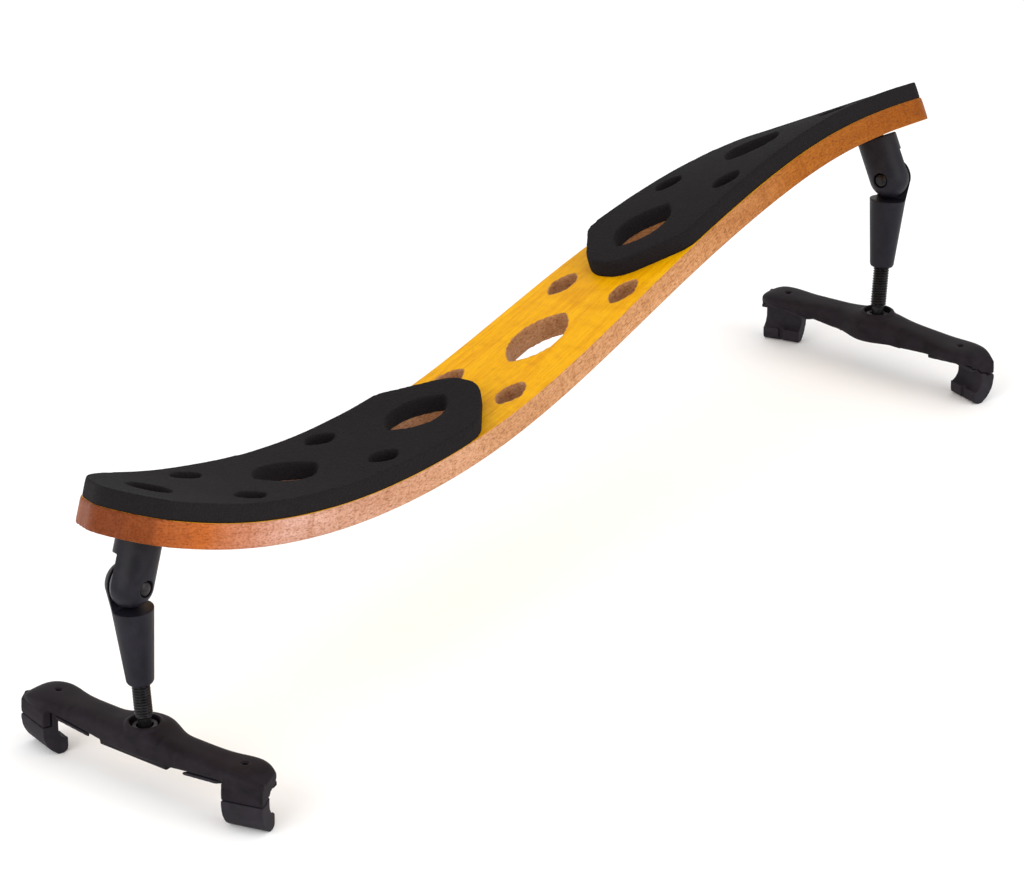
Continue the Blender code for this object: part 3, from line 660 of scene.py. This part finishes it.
def flat_plate(outline, holes, low, high):
    """A flat blank in strips, cut to its outline and pierced."""
    first = min(p.x for p in outline) - MARGIN
    last = max(p.x for p in outline) + MARGIN
    strips = round((last - first) / BEND_STEP)
    sections = []
    for k in range(strips + 1):
        x = first + (last - first) * k / strips
        sections.append([(x, y, z) for y, z in ((-BOARD_WIDTH, low), (BOARD_WIDTH, low),
                                                (BOARD_WIDTH, high), (-BOARD_WIDTH, high))])
    cuts = [("INTERSECT", prism(outline, low - MARGIN, high + MARGIN))]
    cuts += [("DIFFERENCE", prism(hole, low - MARGIN, high + MARGIN)) for hole in holes]
    return carved(lofted(sections), *cuts)


def make_board():
    outline = rounded(end_corners(-1.0) + end_corners(1.0), BOARD_CORNER_RADII)
    holes = lens_outlines(-LONG_CORNER, LONG_CORNER)
    holes += [circle(x, 0.0, LEG_HOLE_RADIUS) for x in LEG_STATION.values()]
    mesh = softened(flat_plate(outline, holes, -BOARD_THICKNESS, 0.0), BOARD_VOXEL, 2)
    keep_flat_places(mesh)
    set_coordinates(mesh, bent(coordinates(mesh)))
    place("board", mesh, "bar_with_pads", "wood", sharp=80.0)


def uneven_foam(points, glued_height):
    """Slow waves and fine grain on the foam's free faces; its glued face keeps its height."""
    for point in points:
        rise = min(1.0, (point[2] - glued_height) / PAD_THICKNESS)
        wave = noise.noise(Vector(point) * PAD_WAVE_RATE) * PAD_WAVE
        wave += noise.noise(Vector(point) * PAD_GRAIN_RATE) * PAD_GRAIN
        point[2] += rise * (wave - PAD_WAVE / 2)
        drift = noise.noise(Vector(point) * PAD_DRIFT_RATE + Vector(PAD_DRIFT_OFFSET))
        point[1] += (1 - rise) * drift * PAD_GRAIN


def make_pad(side):
    sign = SIDES[side]
    half = BOARD_WIDTH / 2 - PAD_INSET
    corners = [(sign * (LONG_CORNER - PAD_INSET), sign * half),
               (sign * PAD_SHOULDER, sign * half), (sign * PAD_NOSE, 0.0),
               (sign * PAD_SHOULDER, -sign * half),
               (sign * (SHORT_CORNER - PAD_INSET), -sign * half)]
    holes = lens_outlines(*sorted((sign * PAD_HOLES_START, sign * LONG_CORNER)))
    holes.append(circle(LEG_STATION[side], 0.0, PAD_END_HOLE_RADIUS))
    low, high = -PAD_SINK, PAD_GAP + PAD_THICKNESS
    outline = rounded(corners, PAD_RADII + (PAD_SHORT_CORNER_RADIUS[side],))
    mesh = softened(flat_plate(outline, holes, low, high), PAD_VOXEL, 5)
    points = coordinates(mesh)
    uneven_foam(points, low)
    set_coordinates(mesh, points)
    keep_flat_places(mesh)
    set_coordinates(mesh, bent(points))
    piece = place(side + "_pad", mesh, "bar_with_pads", "foam", sharp=80.0)


# === legs =======================================================================================
JOINTS = {joint["name"]: joint for joint in frame["joints"]}
MOUNTS = {mount["name"]: mount for mount in frame["record"]["mounts"]}


def axes(origin, y_axis, z_axis):
    """Axes at a place of the frame in metres, as a matrix in millimetres."""
    z = Vector(z_axis).normalized()
    x = Vector(y_axis).cross(z).normalized()
    matrix = Matrix((x, z.cross(x), z)).transposed().to_4x4()
    matrix.translation = Vector(origin) / MM
    return matrix


def make_pivot(side, matrix):
    bush = tube(*BUSH_RADII, BOARD_THICKNESS, CLEARANCE)
    place(side + "_pivot_bush", bush, "bar_with_pads", "metal", matrix)
    seat = BOARD_THICKNESS + PIVOT_SEAT_GAP
    crown = seat + PIVOT_HEAD_THICKNESS
    head = PIVOT_HEAD_RADIUS
    screw = turned([(head - 0.35, crown), (head - 0.1, crown - 0.1), (head, crown - 0.35),
                    (head, seat + 0.1), (head - 0.1, seat), (PIVOT_SHANK_RADIUS, seat),
                    (PIVOT_SHANK_RADIUS, 0.2 - PIVOT_DEPTH),
                    (PIVOT_SHANK_RADIUS - 0.2, -PIVOT_DEPTH)])
    hexagon = rod(HEX_SOCKET[0], crown - HEX_SOCKET[1], crown + MARGIN, 6)
    screw = carved(screw, ("DIFFERENCE", hexagon))
    place(side + "_pivot_screw", screw, "bar_with_pads", "steel", matrix)


def make_post(side, matrix):
    far = OUTSIDE_LEG
    top = KNEE_DROP - CLEARANCE
    ball = [(p.x, p.y) for p in arc((0.0, 0.0), POST_RADIUS, 0, -85, 17)]
    profile = [(POST_RADIUS - 0.2, top), (POST_RADIUS, top - 0.2), *ball, (0.0, -POST_RADIUS)]
    seat = KNEE_HEAD_OUT - KNEE_HEAD_THICKNESS - BORE_PLAY
    mesh = carved(
        turned(profile),
        ("DIFFERENCE", box((-far, LAP_FACE, -far), (far, far, POST_STEP))),
        ("DIFFERENCE", tipped(rod(KNEE_HEAD_RADIUS + BORE_PLAY, seat, far))),
        ("DIFFERENCE", tipped(rod(KNEE_SHANK_RADIUS + BORE_PLAY, -SHANK_BORE_END,
                                  SHANK_BORE_END))),
        ("DIFFERENCE", rod(PIVOT_SHANK_RADIUS + BORE_PLAY,
                           KNEE_DROP - PIVOT_DEPTH - CLEARANCE, KNEE_DROP + MARGIN)))
    place(side + "_post", softened(mesh, LEG_VOXEL), side + "_post_unit", "plastic", matrix)


def make_knee_screw(side, matrix):
    shoulder = KNEE_HEAD_OUT - KNEE_HEAD_THICKNESS
    profile = [(radius, KNEE_HEAD_OUT - drop) for radius, drop in KNEE_HEAD_DOME]
    profile += [(KNEE_HEAD_RADIUS, shoulder), (KNEE_SHANK_RADIUS, shoulder),
                (KNEE_SHANK_RADIUS, 0.15 - KNEE_SCREW_END),
                (KNEE_SHANK_RADIUS - 0.15, -KNEE_SCREW_END)]
    place(side + "_knee_screw", tipped(turned(profile, 64)), side + "_post_unit", "steel",
          matrix)


def make_knee_washer(side, matrix):
    near = LAP_FACE + WASHER_GAP
    washer = tube(WASHER_RADIUS, KNEE_SHANK_RADIUS + BORE_PLAY, -near, -near - WASHER_THICKNESS)
    place(side + "_knee_washer", tipped(washer), side + "_post_unit", "washer", matrix)


def make_sleeve(side, matrix):
    far, foot = OUTSIDE_LEG, -SLEEVE_DROP
    straight = foot + 0.4
    ledge_radius = SLEEVE_FOOT_RADIUS + SLEEVE_TAPER * (-LEDGE_DROP - straight)
    ball = [(p.x, p.y) for p in arc((0.0, 0.0), BALL_RADIUS, 85, 0, 17)]
    profile = [(0.0, BALL_RADIUS), *ball, (ledge_radius, -LEDGE_DROP),
               (SLEEVE_FOOT_RADIUS, straight), (SLEEVE_FOOT_RADIUS - 0.25, foot)]
    mesh = carved(
        turned(profile),
        ("DIFFERENCE", box((-far, -far, -LEDGE_DROP), (far, EAR_FACE, far))),
        ("DIFFERENCE", tipped(rod(KNEE_SHANK_RADIUS + BORE_PLAY, -KNEE_SCREW_END - BORE_PLAY,
                                  0.0))),
        ("DIFFERENCE", rod(BORE_RADIUS, foot - MARGIN, -BORE_TOP_DROP)))
    place(side + "_sleeve", softened(mesh, LEG_VOXEL), side + "_sleeve_unit", "plastic", matrix)


def thread_ring(height, fade):
    """One ring of the helical thread, which fades out towards both of its ends."""
    ring = []
    for k in range(THREAD_PARTS):
        turn = k / THREAD_PARTS
        wave = 0.5 + 0.5 * math.cos(2 * math.pi * (height / THREAD_PITCH - turn))
        radius = THREAD_RADIUS - THREAD_DEPTH * (1 - wave ** THREAD_CREST * fade)
        angle = 2 * math.pi * turn
        ring.append((radius * math.cos(angle), radius * math.sin(angle), height))
    return ring


def make_rod(side, matrix):
    """The threaded rod, with its plain neck and base."""
    neck, neck_top = ROD_NECK
    base, base_top, base_bottom = ROD_BASE
    profile = [(base - 0.3, base_bottom), (base, base_bottom + 0.3), (base, base_top),
               (neck, base_top), (neck, neck_top)]
    rings = [[(p.x, p.y, height) for p in circle(0, 0, radius, THREAD_PARTS)]
             for radius, height in profile]
    start = neck_top + 0.1
    steps = round((THREAD_TOP - start) / THREAD_PITCH * THREAD_RINGS)
    for k in range(steps + 1):
        height = start + (THREAD_TOP - start) * k / steps
        fade = min(1.0, (height - start) / THREAD_PITCH, (THREAD_TOP - height) / THREAD_PITCH)
        rings.append(thread_ring(height, fade))
    rings.append([(0.0, 0.0, THREAD_TOP + 0.15)])
    place(side + "_rod", lofted(rings), side + "_rod_unit", "steel", matrix, 40.0)


# === feet =======================================================================================
def bar_section(y, inner, outer, top, bottom, parts=64):
    """A rounded section, squarer below its middle than above it."""
    middle = Vector(((inner + outer) / 2, y, (top + bottom) / 2))
    half_width, half_height = (outer - inner) / 2, (top - bottom) / 2
    points = []
    for k in range(parts):
        angle = 2 * math.pi * (k + 0.5) / parts
        c, s = math.cos(angle), math.sin(angle)
        power = 2 / (TOP_SQUARENESS if s > 0 else UNDER_SQUARENESS)
        points.append(middle + Vector((half_width * math.copysign(abs(c) ** power, c), 0.0,
                                       half_height * math.copysign(abs(s) ** power, s))))
    return points


def underside(y):
    return float(np.interp(abs(y), (ARM_START, ARM_END), (BAR_UNDERSIDE, ARM_UNDERSIDE)))


def bar_mesh():
    places, *columns = zip(*BAR_STATIONS)
    mirrored = [-y for y in places[:0:-1]]
    curves = [natural_spline(mirrored + list(places), list(c[:0:-1]) + list(c)) for c in columns]
    end = places[-1]
    sections = []
    for k in range(BAR_SECTIONS + 1):
        y = -end + 2 * end * k / BAR_SECTIONS
        sections.append(bar_section(y, *(float(c(y)) for c in curves), underside(y)))
    return lofted(sections)


def hook_matrix(end):
    """The axes of the hook at one end of the foot, turned a little about Z."""
    shift = Matrix.Translation((HOOK_AT[0], end * HOOK_AT[1], 0.0))
    return shift @ Matrix.Rotation(end * math.radians(HOOK_TURN), 4, "Z")


def hook_block(points, end, low=-HOOK_HALF_WIDTH, high=HOOK_HALF_WIDTH):
    """An outline in a hook's own axes, between two distances towards the foot's end."""
    outline = [Vector(p) for p in points]
    solid = tipped(prism(outline, *sorted((-end * low, -end * high))))
    return moved(solid, hook_matrix(end))


def end_wall(end, room=0.0):
    """The bar's wall over a grip's end face; with room, the space the grip leaves for it."""
    inner, seam = END_WALL_INNER
    seam -= room
    shape = ((SKIRT_INNER + 0.3, seam - 0.4), (inner, seam), (inner - 0.3, seam + 0.5),
             (inner - 1.1, seam + 1.0), (inner - 2.4, seam + 1.3), (inner - 2.4, -2.8),
             (SKIRT_INNER + 0.3, -2.8))
    low = HOOK_HALF_WIDTH - END_WALL_THICKNESS - room
    return hook_block(shape, end, low, HOOK_HALF_WIDTH + MARGIN)


def socket_rim():
    """The low raised rim around the socket."""
    radius, outer = SOCKET[0], SOCKET[0] + SOCKET_RIM
    return turned([(radius - 0.3, 0.05), (radius, 0.22), (radius + SOCKET_RIM * 0.4, 0.24),
                   (outer, -0.05), (outer + 0.3, -1.0), (radius - 0.3, -1.0)], closed=True)


def make_bar(side, matrix):
    radius, depth = SOCKET
    skirt = ((SKIRT_INNER, -2.4), (SKIRT_INNER, SEAM_HEIGHT), (HOOK_OUTER, SEAM_HEIGHT),
             (HOOK_OUTER + 0.05, -5.0), (HOOK_OUTER - 0.1, -3.6), (HOOK_OUTER - 0.9, -2.4))
    beyond = ((-9.0, -9.0), (9.0, -9.0), (9.0, 2.0), (-9.0, 2.0))
    steps = [("UNION", box(LAND_LOW, LAND_HIGH)), ("UNION", socket_rim())]
    for end in (-1.0, 1.0):
        hole = moved(rod(END_HOLE[0], -END_HOLE[1], MARGIN, 32),
                     Matrix.Translation((END_HOLE_AT[0], end * END_HOLE_AT[1], 0.0)))
        past_end = hook_block(beyond, end, HOOK_HALF_WIDTH, HOOK_HALF_WIDTH + 4.0)
        steps += [("UNION", hook_block(skirt, end, high=HOOK_HALF_WIDTH + 0.5)),
                  ("UNION", end_wall(end)),
                  ("DIFFERENCE", past_end),
                  ("DIFFERENCE", hole)]
    steps.append(("DIFFERENCE", rod(radius, -depth, MARGIN, 96)))
    mesh = softened(carved(bar_mesh(), *steps), FOOT_VOXEL)
    place(side + "_foot_bar", mesh, side + "_foot_unit", "foot", matrix)


def grip_outline():
    """The hook's profile below the bar: wall, lip, notch for the violin's edge, and roof."""
    ceiling = ARM_UNDERSIDE - CLEARANCE
    skirt, seam = SKIRT_INNER - CLEARANCE, SEAM_HEIGHT - SEAM_GAP
    roof = ceiling - TONGUE_THICKNESS
    wall = natural_spline(*zip(*GRIP_WALL, (seam, 0.0)))
    heights = np.linspace(seam, -FOOT_HEIGHT, GRIP_WALL_PARTS)
    outer = [(HOOK_OUTER + float(wall(z)), float(z)) for z in heights]
    lip = [(HOOK_LIP + 0.8, -FOOT_HEIGHT), (HOOK_LIP + 0.15, -FOOT_HEIGHT + 0.35),
           (HOOK_LIP, -FOOT_HEIGHT + 1.0), (HOOK_LIP, NOTCH_CENTRE[1] - NOTCH_RADIUS + 0.3)]
    roof_centre = (NOTCH_CENTRE[0] + NOTCH_RADIUS - NOTCH_ROOF_RADIUS, NOTCH_WALL_TOP)
    notch = [tuple(p) for p in (*arc(NOTCH_CENTRE, NOTCH_RADIUS, -70, 0, 14),
                                *arc(roof_centre, NOTCH_ROOF_RADIUS, 0, 75, 12))]
    return [(ROOF_INNER, ceiling), (skirt, ceiling), (skirt, seam), *outer, *lip, *notch,
            (ROOF_INNER, roof - 0.4)]


def make_grip(side, matrix, end):
    name = side + ("_back_grip" if (end > 0) == (side == "right") else "_front_grip")
    outline = [Vector((x, end * y)) for x, y in TONGUE_OUTLINE]
    tongue = prism(outline, -TONGUE_THICKNESS, CLEARANCE - SEAM_GAP)
    points = coordinates(tongue)
    points[:, 2] += [underside(y) - CLEARANCE - 0.012 for y in points[:, 1]]
    set_coordinates(tongue, points)
    groove = box((-4.5, -GROOVE_HALF_WIDTH, -13.0),
                 (HOOK_LIP + GROOVE_DEPTH, GROOVE_HALF_WIDTH, NOTCH_CENTRE[1]))
    mesh = carved(hook_block(grip_outline(), end), ("UNION", tongue),
                  ("DIFFERENCE", moved(groove, hook_matrix(end))),
                  ("DIFFERENCE", end_wall(end, room=SEAM_GAP)))
    place(name, softened(mesh, GRIP_VOXEL, 2), side + "_foot_unit", "rubber", matrix)


def make_leg(side):
    swivel, knee = JOINTS[side + "_swivel"], JOINTS[side + "_knee"]
    turn = JOINTS[side + "_rod_turn"]
    to_ear = -Vector(knee["axis"])
    up = -Vector(turn["axis"])
    pivot = axes(swivel["pos_m"], to_ear, swivel["axis"])
    post = axes(knee["pos_m"], to_ear, swivel["axis"])
    rod_axes = axes(turn["pos_m"], to_ear, up)
    ends = [Vector(MOUNTS[side + name]["pos_m"]) for name in ("_front_hook", "_back_hook")]
    foot_y = (ends[0] - ends[1]) * -SIDES[side]
    foot = axes(turn["pos_m"], foot_y, (0.0, 0.0, 1.0))
    make_pivot(side, pivot)
    make_post(side, post)
    make_knee_screw(side, post)
    make_knee_washer(side, post)
    make_sleeve(side, axes(knee["pos_m"], to_ear, up))
    make_rod(side, rod_axes)
    outer, inner, top, bottom = RING
    place(side + "_swivel_ring", tube(outer, inner, top, bottom), side + "_ring_unit", "metal",
          rod_axes)
    make_bar(side, foot)
    for end in (-1.0, 1.0):
        make_grip(side, foot, end)


# === studio =====================================================================================
KEY_LIGHT = ((0.1, -1.0, 0.42), 0.9, 5.0)        # place, width in metres, watts
FILL_LIGHT = ((-0.95, 0.1, 0.38), 0.9, 5.0)
LIGHT_TARGET = (0.0, 0.0, 0.03)
FLOOR_HALF_WIDTH = 4000          # the floor is in millimetres, the rest in metres
FLOOR_TOP = -0.05                # just under the feet
CAMERA_PLACE = (-0.63404, -0.45007, 0.37146)
CAMERA_TURN = 54.29              # degrees from +Y towards +X
CAMERA_DIP = 24.86
CAMERA_LENS = 173.18
CAMERA_SHIFT = (-0.0132, 0.0505)


def make_camera():
    camera = bpy.data.cameras.new("camera")
    camera.lens, camera.sensor_width = CAMERA_LENS, 36.0
    camera.shift_x, camera.shift_y = CAMERA_SHIFT
    camera.clip_start = 0.01
    item = added("camera", camera)
    turn, dip = math.radians(CAMERA_TURN), math.radians(CAMERA_DIP)
    ahead = Vector((math.sin(turn) * math.cos(dip), math.cos(turn) * math.cos(dip),
                    -math.sin(dip)))
    item.location = CAMERA_PLACE
    item.rotation_euler = ahead.to_track_quat("-Z", "Y").to_euler()
    bpy.context.scene.camera = item


def make_light(name, spot, size, power):
    light = bpy.data.lights.new(name, "AREA")
    light.shape, light.size, light.energy = "DISK", size, power
    item = added(name, light)
    item.location = spot
    ahead = Vector(LIGHT_TARGET) - Vector(spot)
    item.rotation_euler = ahead.to_track_quat("-Z", "Y").to_euler()


def make_floor():
    wide = FLOOR_HALF_WIDTH
    slab = box((-wide, -wide, -10), (wide, wide, FLOOR_TOP))
    floor = added("floor", moved(slab, Matrix.Scale(MM, 4)))
    material, tree, shader, where = new_material("floor_pale", Roughness=0.9,
                                                 Specular_IOR_Level=0.0)
    tone = ramp(tree, grain(tree, where, 0.01), (0.3, 0.965), (0.7, 0.985))
    connect(tree, shader.inputs["Base Color"], tone)
    floor.data.materials.append(material)


def make_studio():
    world = bpy.data.worlds.new("studio")
    bpy.context.scene.world = world
    world.use_nodes = True
    background = world.node_tree.nodes["Background"]
    background.inputs["Color"].default_value = (1.0, 1.0, 1.0, 1.0)
    background.inputs["Strength"].default_value = 1.0
    make_floor()
    make_light("key", *KEY_LIGHT)
    make_light("fill", *FILL_LIGHT)
    bpy.context.scene.view_settings.view_transform = "Standard"


make_board()
for each_side in SIDES:
    make_pad(each_side)
    make_leg(each_side)
make_studio()
make_camera()
